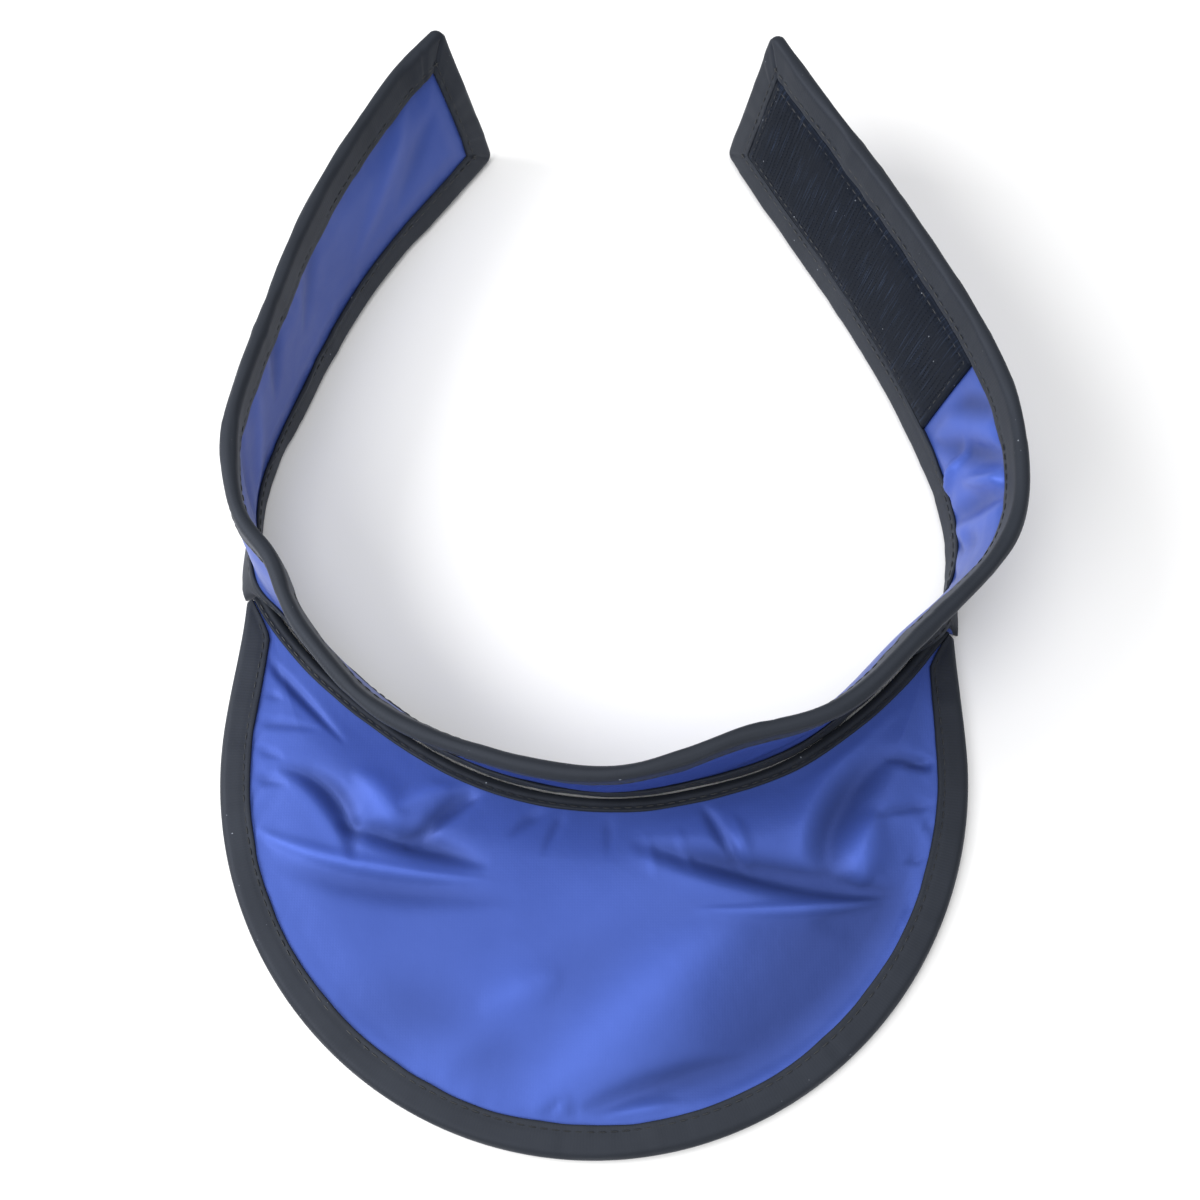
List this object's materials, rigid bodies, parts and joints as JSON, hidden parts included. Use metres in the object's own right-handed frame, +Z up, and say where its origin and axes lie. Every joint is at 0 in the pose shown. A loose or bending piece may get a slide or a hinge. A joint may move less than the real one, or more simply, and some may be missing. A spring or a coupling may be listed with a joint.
{
  "type": "thyroid shield collar",
  "caption": "Padded radiation shield collar for the throat: an open neck band with hook-and-loop ends and a round bib sewn along its front.",
  "frame": {"origin": "centre of the collar's bounding box, on the surface that it lies on", "axes": "+X towards the wearer's left as the bib faces the viewer, which is the right in the picture; +Y from the bib to the open ends at the back of the neck; +Z up from the surface that it lies on"},
  "size_m": [0.2348, 0.3422, 0.0569],
  "materials": {
    "nylon_cover": "blue coated nylon, satin",
    "binding_tape": "black woven polyester tape, matte",
    "hook_tape": "black moulded hooks on woven tape, matte",
    "loop_tape": "black brushed loops, matte"
  },
  "bodies": {
    "root": {"neck_band": "nylon_cover", "band_binding": "binding_tape", "hook_patch": "hook_tape", "loop_patch": "loop_tape", "bib_panel": "nylon_cover", "bib_edge_binding": "binding_tape", "bib_neck_binding": "binding_tape"}
  },
  "joints": []
}
